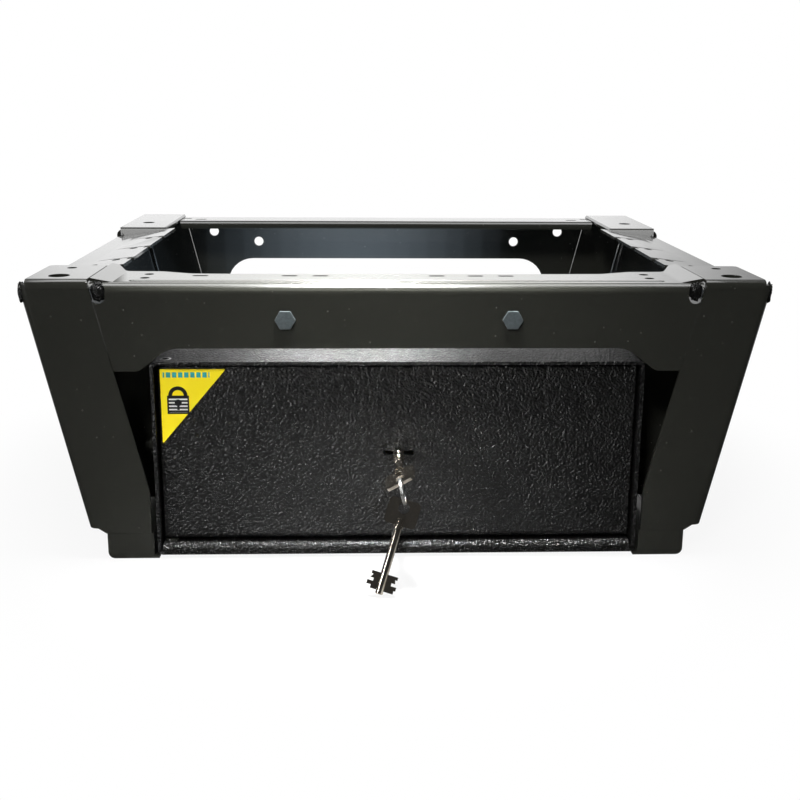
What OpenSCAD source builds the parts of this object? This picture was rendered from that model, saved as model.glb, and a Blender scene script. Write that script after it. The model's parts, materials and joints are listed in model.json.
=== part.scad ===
// Safe for a van, built in between the legs of a pressed steel seat console.
// Front of the console faces -Y, +X is to the right, +Z is up.
// The origin is at floor level, in the middle of the four floor bolts.

/* [Seat console] */
// Width over the front legs at the top
console_w = 544; // [520:1:570]
// Depth from the front face to the rear face
console_d = 440; // [410:1:470]
// Height of the seat pads over the floor
console_h = 212; // [205:1:230]
// Thickness of the pressed sheet
sheet = 2.5; // [2:0.1:3]
// Inner radius of the bends in the sheet
bend_r = 3.5; // [2.5:0.1:5]
// How far the outer edge of a leg leans in, down to its foot
leg_lean_w = 41; // [32:0.5:46]
// Width of a leg at its top
leg_top_w = 50; // [44:0.5:54]
// Width of a leg at its lower end
leg_low_w = 46.5; // [42:0.5:50]
// Height where the inner edge of a leg turns upright
leg_in_turn_z = 52; // [40:1:70]

/* [Top flanges and pads] */
// Width of the top flange of a side member between the pads
side_flange_w = 59; // [53:1:63]
// How far the inner edge of that flange lies below the pads
flange_drop = 1; // [0.6:0.1:2]
// Angle by which that flange falls from there to the wall
flange_tilt = 7; // [4:0.5:9]
// Length of a front seat pad
front_pad_l = 68; // [62:1:76]
// Length of a rear seat pad
rear_pad_l = 137; // [120:1:150]
// Diameter of the seat hole in a front pad
front_hole_d = 15; // [12:0.5:16]
// Diameter of the seat hole in a rear pad
rear_hole_d = 11.5; // [9:0.5:14]
// Seat holes from the side of the console
seat_hole_in = 26; // [22:0.5:30]
// Seat hole of a front pad behind the front face
front_hole_y = 19; // [16:0.5:24]
// Seat hole of a rear pad in front of the rear face
rear_hole_in = 86; // [70:1:95]
// Diameter of the locating holes
pilot_d = 7; // [5:0.5:8]
// Distance from a front seat hole to its locating hole
pilot_gap = 36; // [30:0.5:38]
// How far the step of a rear pad reaches forward
nose_y = 14; // [10:1:18]
// Depth of the notches in the inner edge of the top flange
notch_depth = 4; // [3:0.5:7]
// Width of these notches
notch_w = 9; // [7:1:14]
// First notch behind the front pad
notch_front = 46; // [38:1:50]
// Last notch in front of a rear pad
notch_rear = 53; // [45:1:60]

/* [Front beam] */
// How far the beams lie below the pads
beam_drop = 3; // [2.5:0.5:5]
// Width of the flared ends of its top flange
flare_w = 16; // [12:1:20]
// Height of the beam face in the middle
beam_face_h = 47; // [42:1:50]
// Height of the beam face at its ends
beam_end_h = 64; // [60:1:65]
// Width of an end of the beam at its foot
beam_toe_w = 18.2; // [17:0.1:19]
// Width of the slope from there up to the raised middle
beam_slope_w = 22; // [18:1:34]
// Radius of the round between the raised edge and its slope
beam_arch_r = 22; // [12:1:26]
// Depth of the top flange in the middle
beam_flange_mid = 46; // [38:1:52]
// Depth of the top flange beside the side members
beam_flange_end = 80; // [72:1:86]
// End of the long bead from the leg
bead_end = 30; // [22:1:50]
// Width of the bead
bead_w = 7; // [5:0.5:9]
// Depth of the bead
bead_depth = 1.2; // [0.8:0.1:1.6]
// Bead behind the front face
bead_y = 15; // [13:0.5:20]
// Width of the relief hole at a corner
relief_w = 11; // [8:0.5:12]
// Height of the relief hole at a corner
relief_h = 15; // [12:0.5:18]
// Slots of the top flange: length
flange_slot_l = 12; // [8:0.5:16]
// Slots of the top flange: width
flange_slot_w = 4.5; // [3:0.5:6]

/* [Rear beam] */
// Height of the rear beam at its ends
rear_end_h = 102; // [80:1:130]
// Height of the rear beam over its cut-out
rear_face_h = 46; // [42:1:60]
// Width of an end of the rear beam at its foot
rear_toe_w = 8; // [6:0.5:12]
// Width of the slope from there up to the top of the cut-out
rear_slope_w = 21.6; // [18:0.1:40]
// Radius at the corners of the cut-out
rear_cut_r = 28; // [15:1:35]
// Diameter of the four round holes
rear_round_d = 10; // [8:0.5:12]
// Outer round holes from the leg
rear_round_out = 31; // [24:1:36]
// Inner round holes from the leg
rear_round_in = 80; // [70:1:88]
// Depth of the rear top flange
rear_flange_d = 46; // [38:1:52]

/* [Floor rails] */
// Height of the floor rails
rail_h = 20; // [17:0.5:23]
// How far a floor rail stands in from the lower end of a leg
rail_inset = 13.5; // [11:0.5:17]
// Width of its floor flange
rail_w = 47.5; // [43.5:0.5:57]
// Width of a foot
foot_w = 34.5; // [31:0.5:35]
// Diameter of the floor bolt holes
floor_hole_d = 11; // [9:0.5:13]
// Floor bolts from the outer edge of a rail
floor_hole_in = 16.5; // [14:0.5:19]
// Floor bolts from the ends of a rail
floor_hole_end = 30; // [23:1:50]

/* [Safe body] */
// Gap between the safe and the legs
safe_gap = 4; // [3.5:0.5:7]
// Gap between the safe and the raised middle of the front beam
arch_gap = 10; // [9.5:0.5:16]
// Depth of the safe
safe_d = 215; // [190:1:240]
// Thickness of the safe walls
safe_wall = 2.5; // [2:0.1:3]
// Outer radius of the long edges of the safe
safe_edge_r = 4; // [3:0.5:6]
// Thickness of the frame behind the door
frame_t = 3; // [2.5:0.1:4]
// Width of that frame
frame_w = 13; // [11:0.5:14]
// Height of the sill under the door
sill_h = 6; // [5:0.5:7]
// Radius of the front edge of the sill
sill_r = 4; // [2:0.5:4.5]

/* [Door] */
// How far the door lies behind the front
door_recess = 5; // [4:0.5:8]
// Gap round the door
door_gap = 1.8; // [1.7:0.1:2.6]
// Depth of the folded door pan
door_pan_d = 8; // [7:0.5:9]
// Thickness of the door sheet
door_sheet = 2.5; // [2:0.1:3]
// Radius of the lower door edge
door_low_r = 5; // [3:0.5:6]
// Radius of the other door edges
door_edge_r = 2; // [2:0.5:3]
// Gap between the door and the frame behind it
door_back_gap = 3.9; // [3.7:0.1:4.5]
// Diameter of the hinge pins
pin_d = 5; // [4:0.5:6]
// Radial clearance of the hinge pins
pin_clear = 0.05; // [0.02:0.01:0.08]
// Hinge pin from the left edge of the door
pin_in = 5.5; // [5:0.5:6]

/* [Lock] */
// Width of the lock case
lock_w = 66; // [64:1:74]
// Height of the lock case
lock_h = 58; // [54:1:64]
// Depth of the lock case
lock_d = 19; // [18.5:0.5:20]
// Number of levers
lever_n = 5; // [4:1:6]
// Thickness of a lever
lever_t = 1.5; // [1:0.1:1.6]
// Diameter of the locking bolts
bolt_d = 12; // [10:0.5:13]
// Length of the locking bolts
bolt_l = 50; // [42:1:55]
// Height of the key over the middle of the door
lock_up = 0.5; // [0:0.25:3]
// Running clearance of the locking bolts in their guides
bolt_clear = 0.08; // [0.04:0.01:0.1]
// Travel of the locking bolts when the key turns by half a turn
bolt_throw = 15; // [12:0.5:16]
// Wall of the cover over the bolt work
cover_wall = 1.5; // [1.2:0.1:2]

/* [Keys] */
// Length of a key
key_l = 68; // [66:0.5:74]
// Width of the bow
bow_w = 23; // [19:0.5:24]
// Length of the bow
bow_l = 19; // [17:0.5:20]
// Thickness of the bow
bow_t = 2.4; // [2:0.1:2.8]
// Hole in the bow
bow_hole_d = 8; // [7.8:0.1:8.6]
// Metal between that hole and the end of the bow
bow_strip = 2.2; // [1.8:0.1:2.4]
// Diameter of the shank
shank_d = 5.6; // [5:0.1:6]
// Reach of each blade of the double bit, from the axis
bit_r = 10.5; // [9.5:0.1:11]
// Length of the bit
bit_l = 12; // [10:0.5:13]
// Thickness of the bit
bit_t = 2.4; // [2:0.1:2.6]
// Nose of the shank beyond the bit
nose_l = 2.5; // [2:0.1:3]
// Angle by which the key sags in its lock
key_sag = 8; // [5:0.5:9]
// Angle of the bow against the horizontal
key_turn = 30; // [10:1:35]
// Inner radius of the key ring
ring_r = 8.5; // [8:0.1:9]
// Wire of the key ring
ring_wire = 1.3; // [1.1:0.1:1.4]
// Lean of the key ring to the right
ring_lean = 13; // [8:1:18]
// Lean of the spare key to the left
spare_lean = 16; // [10:1:20]
// Lean of the spare key to the front, where it stands on the floor
spare_tilt = 23; // [21:1:30]

/* [Hidden] */
$fn = 48;

paint = [0.10, 0.10, 0.095];
texture_paint = [0.14, 0.14, 0.14];
zinc = [0.62, 0.63, 0.62];
nickel = [0.72, 0.69, 0.62];
gap = 0.4; // seam between two welded sheets
weld_gap = 0.3; // room of a piece beside one that it doesn't touch

// Seat console
half_w = console_w / 2;
half_low = half_w - leg_lean_w;
leg_in_top = half_w - leg_top_w; // inner edge of a leg at its top
leg_in_low = half_low - leg_low_w; // and where it turns upright
top_z = console_h - sheet; // the pads lie on this height
skirt_z = rail_h + 4;
lean = atan((half_w - half_low) / (top_z - skirt_z));
fold = bend_r + sheet;
sheet_x = sheet / cos(lean); // the leaning sheet measured along X
wall_top = top_z - fold - 1.5; // the wall ends here and the upper fold begins
function wall_x(z) = half_low + (z - skirt_z) * tan(lean); // outer face of the leaning wall
function leg_in(z) = leg_in_low + (leg_in_top - leg_in_low) * (z - leg_in_turn_z) / (top_z - leg_in_turn_z);
flange_in = half_w - side_flange_w;
seam_z = console_h - fold - 1; // the bent end of a pad is welded to its leg here
flange_z = console_h - flange_drop;
function flange_top(x) = flange_z - (x - flange_in) * tan(flange_tilt);
flange_mid = [flange_in - sin(flange_tilt) * sheet / 2, flange_z - cos(flange_tilt) * sheet / 2];
// Height where the middle planes of that flange and of the wall meet
flange_corner = (flange_mid[1] - tan(flange_tilt) * (half_low - skirt_z * tan(lean) - sheet_x / 2 - flange_mid[0]))
    / (1 + tan(flange_tilt) * tan(lean));
flange_cut = flange_corner - fold - 4; // the wall ends here below that flange
flange_y0 = beam_flange_end + 0.5;
flange_y1 = console_d - rear_pad_l + nose_y;
pad_out = wall_x(console_h) - fold - 0.5;
crease_r = 3;
crease_l = 38;
seat_hole_w = console_w - 2 * seat_hole_in;
rear_hole_y = console_d - rear_hole_in;
notch_first = front_pad_l + notch_front;
notch_pitch = (console_d - rear_pad_l - notch_rear - notch_first) / 2;
notch_y = [for (i = [0 : 2]) notch_first + i * notch_pitch];

// Beams
beam_top = console_h - beam_drop;
beam_toe_half = leg_in(beam_top - beam_end_h) - beam_toe_w;
beam_arch_half = beam_toe_half - beam_slope_w;
rear_toe_half = leg_in(beam_top - rear_end_h) - rear_toe_w;
rear_cut_half = rear_toe_half - rear_slope_w;
bead_half = leg_in_top - bead_end;
slot_x = leg_in_top - 36; // round holes near the ends of the top flange
slot_at = [-slot_x + 39, -81, -58, 29, 58, 81];
slot_in = 9; // slots from the edge of the flange
pilot_y = [27, 44]; // these holes behind the front face
arm_x = [6, 16, 44, 67, 100]; // outline of the ends of the flange, from the leg
arm_y = [22, 23]; // and from their rear edge
flare_in = leg_in_top - flare_w;
flare_y = fold + 3;
rear_lip_h = 8;
hex_x = 82;
hex_z = beam_top - 26;
relief_x = leg_in_top - relief_w / 2 - 1.5;
relief_z = beam_top - relief_h / 2 + 0.5;

// Hexagon bolts and nuts of nominal size 8
m8_d = 8;
m8_flats = 13;
m8_head_h = 5.3;
m8_nut_h = 6.5;
m8_hole_d = 8.6;

// Floor rails
rail_out = half_low - rail_inset;
rail_in = rail_out - rail_w;
foot_in = rail_out - foot_w;
floor_hole_w = 2 * (rail_out - floor_hole_in);
floor_hole_l = console_d - 2 * floor_hole_end;
rail_turn = 17.5; // the bent part of the rail begins this far in
rail_lap = 24; // height of its flange against the wall

// Safe
safe_w = 2 * (leg_in_low - safe_gap);
safe_z = sheet;
safe_top = beam_top - beam_face_h - arch_gap;
in_x = safe_w / 2 - safe_wall;
in_z0 = safe_z + safe_wall;
in_z1 = safe_top - safe_wall;
sill_x = in_x - safe_edge_r + safe_wall;
door_x = in_x - door_gap;
door_z0 = in_z0 + sill_h + door_gap;
door_z1 = in_z1 - door_gap;
plate_back = door_recess + door_sheet;
pan_back = door_recess + door_pan_d;
frame_y = pan_back + door_back_gap;
bracket_t = 3;
bracket_y = 30;
bracket_l = 24;
side_bolt_drop = 76; // side bolts below the top of the safe
bracket_z = [rail_h + 9, safe_top - safe_edge_r];
lap_top = rail_h + 6 + rail_lap; // top of the rail's flange against the wall
side_bolt_y = bracket_y + 10;
side_bolt_z = safe_top - side_bolt_drop;

// Hinge
hinge_x = -door_x + pin_in;
hinge_y = plate_back + pin_d / 2 + 0.6;
block_h = 12;
bush_d = pin_d + 4;
label_x = door_x - door_edge_r - 0.1;
label_z = door_z1 - door_edge_r - 0.1;
label_w = 48;
label_h = 57;
bush_flange_d = pin_d + 6;

// Lock, in the middle of the door
lock_z = (door_z0 + door_z1) / 2 + lock_up;
bit_start = door_sheet / cos(key_sag) + bit_r * tan(key_sag) + 0.5;
key_in = bit_start + bit_l + nose_l;
sweep_r = bit_r + 1.8;
sweep_z = lock_z + (bit_start + bit_l / 2) * sin(key_sag);
case_wall = 1.5;
case_back = plate_back + lock_d;
lever_y = plate_back + 1.4;
lever_pitch = lever_t + 0.1;
lever_post_x = -19;
lever_post_z = sweep_z + 20;
lever_post_d = 5;
lock_bolt_t = 3;
lever_form = [[-27, 12, 4], [-24, 26, 4], [25, 26, 5], [27, 19, 3], [19, -14, 10], [-14, -17, 10]];
gate_form = [[8, 17, 1], [20, 17, 1], [20, 22, 1], [8, 22, 1]];
lock_bolt_y = lever_y + lever_n * lever_pitch + 0.4;
tongue_h = 14;
tongue_lap = 12; // the tongue reaches this far over the bar
slide_back = bolt_throw * key_turn / 180;
slide_out = bolt_throw - slide_back;
bar_t = 3;
bar_y = lock_bolt_y + lock_bolt_t;
bar_x0 = lock_w / 2 + 20;
guide_x = in_x - 40;
guide_t = 3;
guide_foot = 14;
bar_x1 = guide_x - 31;
cover_rim = 8;
cover_x = [-(in_x - frame_w - 19), in_x - frame_w - 15];
cover_z = [max(in_z0 + frame_w + 4.5, door_z0 + door_sheet + cover_rim + 1), in_z1 - frame_w - 4.5];
bar_half = cover_z[1] - cover_wall - 1 - lock_z;
bolt_pitch = 2 * (bar_half - 10);
bolt_screw_d = 6;
bolt_screw_l = 12;
bolt_y = frame_y + frame_t + bolt_d / 2 + 1;
stud_x = (bar_x0 + bar_x1) / 2;
stud_dz = 20;
bar_arm = stud_dz + 11; // the bar is narrower from here on
bar_arm_w = 24;
stud_d = 8;
cover_back = bolt_y + bolt_d / 2 + 3;

// Plane geometry
function unit(v) = v / norm(v);
function left_of(u) = [-u[1], u[0]];
function turned(u, a) = [u[0] * cos(a) - u[1] * sin(a), u[0] * sin(a) + u[1] * cos(a)];
function flip(p) = [for (i = [len(p) - 1 : -1 : 0]) concat([-p[i][0]], [for (k = [1 : len(p[i]) - 1]) p[i][k]])];

// Stations [point, normal] along a bent path, with the centre-line radius r at its corners
function stations(p, r, n = 5) = let (m = len(p)) concat(
    [[p[0], left_of(unit(p[1] - p[0]))]],
    [for (i = [1 : m - 2])
        let (u = unit(p[i] - p[i - 1]), v = unit(p[i + 1] - p[i]), a = atan2(cross(u, v), u * v),
            s = sign(a), c = p[i] - r * tan(abs(a) / 2) * u + s * r * left_of(u))
        for (k = [0 : n]) let (w = left_of(turned(u, a * k / n))) [c - s * r * w, w]],
    [[p[m - 1], left_of(unit(p[m - 1] - p[m - 2]))]]);

// Section of a sheet of thickness t that is bent along a path, with the inner radius r
module bent_sheet(p, t, r) {
    s = stations(p, r + t / 2);
    polygon(concat([for (q = s) q[0] + q[1] * t / 2],
        [for (i = [len(s) - 1 : -1 : 0]) s[i][0] - s[i][1] * t / 2]));
}

// Closed outline whose corners [x, y, radius] are rounded
function rounded(p, n = 6) = let (m = len(p)) [for (i = [0 : m - 1])
    let (b = [p[i][0], p[i][1]], q = p[(i + m - 1) % m], w = p[(i + 1) % m], r = p[i][2],
        u = unit(b - [q[0], q[1]]), v = unit([w[0], w[1]] - b), a = atan2(cross(u, v), u * v),
        s = sign(a), c = b - r * tan(abs(a) / 2) * u + s * r * left_of(u))
    for (k = [0 : (r > 0 ? n : 0)]) r > 0 ? c - s * r * left_of(turned(u, a * k / n)) : b];
function box_outline(x0, y0, x1, y1, r) = rounded([[x0, y0, r], [x1, y0, r], [x1, y1, r], [x0, y1, r]]);
module slot2(l, w) {
    square([l - w, w], center = true);
    for (s = [-1, 1]) translate([s * (l - w) / 2, 0]) circle(d = w);
}
module hexagon(flats) rotate(30) circle(d = flats / cos(30), $fn = 6);

// Directions of extrusion: an X-Z outline made solid along +Y, a Y-Z outline along +X, an X-Y outline up
module along_y(y0, l) translate([0, y0 + l, 0]) rotate([90, 0, 0]) linear_extrude(l) children();
module along_x(x0, l) translate([x0, 0, 0]) rotate([90, 0, 90]) linear_extrude(l) children();
module up(z0, l) translate([0, 0, z0]) linear_extrude(l) children();
module block(a, b) translate(a) cube(b - a);
module rod_x(x0, l, y, z, d) translate([x0, y, z]) rotate([0, 90, 0]) cylinder(d = d, h = l);
module rod_y(x, y0, l, z, d) translate([x, y0 + l, z]) rotate([90, 0, 0]) cylinder(d = d, h = l);
module rod_z(x, y, z0, l, d) translate([x, y, z0]) cylinder(d = d, h = l);
// Moves what is measured from the front face to the frame of the part
module from_front() translate([0, -console_d / 2, 0]) children();
module both_sides() { children(); mirror([1, 0, 0]) children(); }
module front_and_rear() { children(); translate([0, console_d, 0]) mirror([0, 1, 0]) children(); }

// Side members: a leaning wall with folded legs at both ends and a top flange
// Outline of a leg with the bent end of its pad, up to the fold at its outer edge
module leg_outline() polygon(rounded([
    [leg_in_low, rail_h, 0], [wall_x(rail_h) - fold - 6, rail_h, 0], [half_low - fold - 1, skirt_z, 0],
    [wall_x(console_h + 1) - fold, console_h + 1, 0], [leg_in(console_h + 1), console_h + 1, 0],
    [leg_in_low, leg_in_turn_z, 40]]));
module leg_plate() along_y(0, sheet) intersection() {
    leg_outline();
    square([console_w, seam_z]);
}
// Weld in the open corner between the pad, the upright fold and the flange
module corner_weld() translate([wall_x(top_z - 3) - 2.8, 3.4, top_z - 3]) sphere(r = 2.6);
// The leaning wall with its upright folds, which overlap the leg plates and end beside the pads
module wall() intersection() {
    translate([half_low, 0, skirt_z]) rotate([0, lean, 0]) up(-fold, console_h) bent_sheet([
        [-fold - 8, sheet / 2], [-sheet / 2, sheet / 2], [-sheet / 2, console_d - sheet / 2],
        [-fold - 8, console_d - sheet / 2]], sheet, bend_r);
    union() {
        block([0, -1, skirt_z], [console_w, console_d + 1, wall_top]);
        front_and_rear() along_y(-1, fold + 1) polygon([[wall_x(wall_top - 1) - fold, wall_top - 1],
            [console_w, wall_top - 1], [console_w, top_z - 1], [wall_x(top_z - 1) - fold, top_z - 1]]);
    }
}
// Level flange under a pad
module level_run(y0, y1) along_y(y0, y1 - y0) bent_sheet([[leg_in_top + gap, top_z - sheet / 2],
    [wall_x(top_z) - sheet_x / 2, top_z - sheet / 2], [wall_x(wall_top - 3) - sheet_x / 2, wall_top - 3]],
    sheet, bend_r);
// Falling flange between the pads
module falling_run() along_y(flange_y0, flange_y1 - flange_y0) bent_sheet([flange_mid,
    [wall_x(flange_corner) - sheet_x / 2, flange_corner],
    [wall_x(flange_cut - 3) - sheet_x / 2, flange_cut - 3]], sheet, bend_r);
// Pressed crease that runs out on the flange
module crease(y) translate([flange_in - 1, y, flange_z + crease_r - 1]) rotate([0, 88 + flange_tilt, 0])
    cylinder(r = crease_r, h = crease_l);
module side_member() difference() {
    union() {
        difference() {
            wall();
            block([0, flange_y0, flange_cut], [console_w, flange_y1, console_h]);
        }
        front_and_rear() {
            leg_plate();
            corner_weld();
        }
        level_run(fold, flange_y0);
        falling_run();
        level_run(flange_y1, console_d - fold);
    }
    seat_holes(top_z - 2 * sheet, 3 * sheet);
    for (y = notch_y) {
        block([flange_in - 1, y - notch_w / 2, flange_z - 8], [flange_in + notch_depth, y + notch_w / 2, console_h]);
        crease(y + notch_w / 2 + 1);
        rod_z(flange_in + 13, y - 1, flange_z - 9, 12, pilot_d);
    }
    rod_z(flange_in + 27, flange_y0 + 14, flange_z - 12, 12, pilot_d);
}
module seat_holes(z0, l) {
    rod_z(seat_hole_w / 2, front_hole_y, z0, l, front_hole_d);
    rod_z(seat_hole_w / 2, front_hole_y + pilot_gap, z0, l, pilot_d);
    rod_z(seat_hole_w / 2, rear_hole_y, z0, l, rear_hole_d);
}
module side_member_right() color(paint) from_front() side_member();
module side_member_left() color(paint) from_front() mirror([1, 0, 0]) side_member();

// Raised pads that carry the seat: bent sheets that go over into the faces of the legs
module pad(l) difference() {
    intersection() {
        along_x(leg_in_low, half_w - leg_in_low) bent_sheet([[sheet / 2, seam_z],
            [sheet / 2, console_h - sheet / 2], [l, console_h - sheet / 2]], sheet, bend_r);
        along_y(-1, l + 2) leg_outline();
        up(0, console_h + 1) polygon(rounded([[leg_in_low, -1, 0], [pad_out, -1, 0], [pad_out, l, 4],
            [leg_in_low, l, 0]]));
    }
    children();
}
// Rounded step from a rear pad down to the falling flange
module nose() let (x0 = leg_in_top + gap, y0 = console_d - rear_pad_l, z0 = flange_top(pad_out)) intersection() {
    along_y(y0, nose_y) polygon([[x0, flange_top(x0)], [pad_out, z0], [pad_out, console_h], [x0, console_h]]);
    along_x(x0, pad_out - x0) polygon(rounded([[y0, z0 - 1, 0], [flange_y1, z0 - 1, 0], [flange_y1, console_h, 0],
        [y0 + nose_y - 6, console_h, 8]]));
    up(0, console_h + 1) polygon(rounded([[x0, y0, 0], [pad_out, y0, nose_y - 3], [pad_out, flange_y1, 0],
        [x0, flange_y1, 0]]));
}
module front_pads() color(paint) from_front() both_sides() pad(front_pad_l) seat_holes(top_z - 1, sheet + 2);
module rear_pads() color(paint) from_front() both_sides() {
    translate([0, console_d, 0]) mirror([0, 1, 0]) pad(console_d - flange_y1)
        translate([0, console_d, 0]) mirror([0, 1, 0]) seat_holes(top_z - 1, sheet + 2);
    nose();
}

// Front beam: a face, a round upper fold and a top flange with a bead
function beam_edge(z) = leg_in(z) - gap;
function beam_outline(face_h, end_h, arch_half, arch_r, toe) = let (z = beam_top + 1, a = beam_top - face_h,
    e = beam_top - end_h) [[beam_edge(z), z, 0], [-beam_edge(z), z, 0], [-beam_edge(e), e, 1], [-toe, e, 4],
    [-arch_half, a, arch_r], [arch_half, a, arch_r], [toe, e, 4], [beam_edge(e), e, 1]];
function flange_edge() = [[leg_in_top - gap, beam_flange_end, 2], [leg_in_top - arm_x[0], beam_flange_end, 4],
    [leg_in_top - arm_x[1], beam_flange_end - arm_y[0], 8], [leg_in_top - arm_x[2], beam_flange_end - arm_y[1], 12],
    [leg_in_top - arm_x[3], beam_flange_mid + 1, 12], [leg_in_top - arm_x[4], beam_flange_mid, 20]];
module flange_plan() polygon(rounded(concat([[-leg_in_top + gap, -1, 0], [leg_in_top - gap, -1, 0]],
    flange_edge(), flip(flange_edge()))));
module bead() {
    r = (bead_w * bead_w / 4 + bead_depth * bead_depth) / (2 * bead_depth);
    z = beam_top - bead_depth + r;
    rod_x(-bead_half, 2 * bead_half, bead_y, z, 2 * r);
    for (s = [-1, 1]) translate([s * bead_half, bead_y, z]) sphere(r = r);
}
// Ends of that flange, which rise to the height of the pads
module flares() intersection() {
    both_sides() along_y(flare_y, beam_flange_end) bent_sheet([[flare_in - 4, beam_top - sheet / 2],
        [flare_in, beam_top - sheet / 2], [leg_in_top, console_h - sheet / 2]], sheet, bend_r);
    up(0, console_h + 1) flange_plan();
}
module front_beam() color(paint) from_front() difference() {
    union() {
        intersection() {
            difference() {
                along_x(-half_w, console_w) bent_sheet([[sheet / 2, 0], [sheet / 2, beam_top - sheet / 2],
                    [beam_flange_end + 5, beam_top - sheet / 2]], sheet, bend_r + 1);
                both_sides() block([flare_in, flare_y, beam_top - sheet - 1], [half_w, console_d, console_h]);
            }
            along_y(-2, beam_flange_end + 9)
                polygon(rounded(beam_outline(beam_face_h, beam_end_h, beam_arch_half, beam_arch_r, beam_toe_half)));
            up(0, console_h) flange_plan();
        }
        flares();
    }
    bead();
    for (s = [-1, 1]) {
        translate([s * relief_x, 0, relief_z]) rotate([0, 90, 0]) along_y(-1, fold + 4) slot2(relief_h, relief_w);
        rod_y(s * hex_x, -1, sheet + 2, hex_z, m8_hole_d);
    }
    for (x = slot_at) translate([x, beam_flange_mid - slot_in, 0]) up(beam_top - 5, 6)
        slot2(flange_slot_l, flange_slot_w);
    for (x = [-slot_x, slot_x + 1], y = pilot_y) rod_z(x, y, beam_top - 5, 6, pilot_d);
}

// Rear beam: a wall with a round-cornered cut-out, four holes and a top flange with a lip
module rear_beam() color(paint) from_front() difference() {
    intersection() {
        along_x(-half_w, console_w) bent_sheet([[console_d - sheet / 2, 0],
            [console_d - sheet / 2, beam_top - sheet / 2],
            [console_d - rear_flange_d + sheet / 2, beam_top - sheet / 2],
            [console_d - rear_flange_d + sheet / 2, beam_top - rear_lip_h]], sheet, bend_r);
        along_y(console_d - rear_flange_d - 1, rear_flange_d + 2) polygon(rounded(
            beam_outline(rear_face_h, rear_end_h, rear_cut_half, rear_cut_r, rear_toe_half)));
    }
    for (s = [-1, 1]) {
        rod_y(s * (leg_in_top - rear_round_out), console_d - 4, 5, beam_top - 16, rear_round_d);
        rod_y(s * (leg_in_top - rear_round_in), console_d - 4, 5, beam_top - 27, rear_round_d);
        for (k = [0, 1]) translate([s * (leg_in_top - 4 - 17 * k), console_d - 20 - 8 * k, 0]) up(beam_top - 5, 6)
            slot2(flange_slot_l, flange_slot_w);
    }
}

// Floor rails: a floor flange, an upright web and a joggled flange against the leaning wall
module foot() {
    along_y(0, sheet) polygon(rounded([[foot_in, 0, 0], [rail_out, 0, 5], [rail_out, rail_h - gap, 0],
        [foot_in, rail_h - gap, 0]]));
    block([foot_in - 3.5, 0, 0], [foot_in + 3, fold, sheet - 0.3]);
}
module floor_rail() {
    lap = sheet_x * 1.5 + weld_gap;
    z0 = rail_h + 6;
    difference() {
        union() {
            front_and_rear() foot();
            block([rail_in, fold + 2, 0], [rail_out - sheet, console_d - fold - 2, sheet]);
            block([foot_in, 0.5, 0], [rail_out - 5, console_d - 0.5, sheet]);
            along_y(fold + 0.5, console_d - 2 * fold - 1) bent_sheet([[rail_out - rail_turn, sheet / 2],
                [rail_out - sheet / 2, sheet / 2], [rail_out - sheet / 2, rail_h - 3],
                [wall_x(z0) - lap, z0], [wall_x(z0 + rail_lap) - lap, z0 + rail_lap]], sheet, 2.5);
        }
        for (y = [-1, 1]) rod_z(floor_hole_w / 2, console_d / 2 + y * floor_hole_l / 2, -1, sheet + 2, floor_hole_d);
    }
}
module floor_rail_right() color(paint) from_front() floor_rail();
module floor_rail_left() color(paint) from_front() mirror([1, 0, 0]) floor_rail();

// Safe body: a wrapped sheet, its back, and the frame behind the door
module safe_body() color(texture_paint) from_front() difference() {
    along_y(0, safe_d) difference() {
        polygon(box_outline(-safe_w / 2, safe_z, safe_w / 2, safe_top, safe_edge_r));
        polygon(box_outline(-in_x, in_z0, in_x, in_z1, safe_edge_r - safe_wall));
    }
    rod_z(hinge_x, hinge_y, in_z1 - 1, safe_wall + 2, bush_d);
    for (s = [-1, 1]) rod_x(s * safe_w / 2 - 2 * safe_wall, 4 * safe_wall, side_bolt_y, side_bolt_z, m8_hole_d);
}
module safe_back() color(texture_paint) from_front() along_y(safe_d - safe_wall, safe_wall)
    polygon(box_outline(-in_x, in_z0, in_x, in_z1, safe_edge_r - safe_wall));
module front_frame() color(texture_paint) from_front() difference() {
    union() {
        along_y(frame_y, frame_t) difference() {
            polygon(box_outline(-in_x, in_z0, in_x, in_z1, safe_edge_r - safe_wall));
            polygon(box_outline(-in_x + frame_w, in_z0 + frame_w, in_x - frame_w, in_z1 - frame_w, 3));
        }
        along_x(-sill_x, 2 * sill_x) polygon(rounded([[0, in_z0, 0], [frame_y, in_z0, 0],
            [frame_y, in_z0 + sill_h, 0], [0, in_z0 + sill_h, sill_r]]));
    }
    rod_z(hinge_x, hinge_y, in_z0 - 1, sill_h + 2, bush_d);
}

// Brackets that join the safe to the leaning walls, with their bolts and nuts
function wall_in(z) = wall_x(z) - sheet_x - weld_gap;
function rail_x(z) = wall_in(z) - sheet_x - weld_gap;
module side_brackets() color(paint) from_front() both_sides() difference() {
    x0 = safe_w / 2;
    union() {
        along_y(bracket_y, bracket_l) polygon([[x0, bracket_z[0]], [x0 + bracket_t, bracket_z[0]],
            [x0 + bracket_t, bracket_z[1]], [x0, bracket_z[1]]]);
        along_y(bracket_y + bracket_l - bracket_t, bracket_t) polygon([[x0, bracket_z[0]],
            [rail_x(bracket_z[0]), bracket_z[0]], [rail_x(lap_top + 2), lap_top + 2],
            [wall_in(lap_top + 2), lap_top + 2], [wall_in(bracket_z[1]), bracket_z[1]], [x0, bracket_z[1]]]);
    }
    rod_x(x0 - 1, bracket_t + 2, side_bolt_y, side_bolt_z, m8_hole_d);
}
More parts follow.
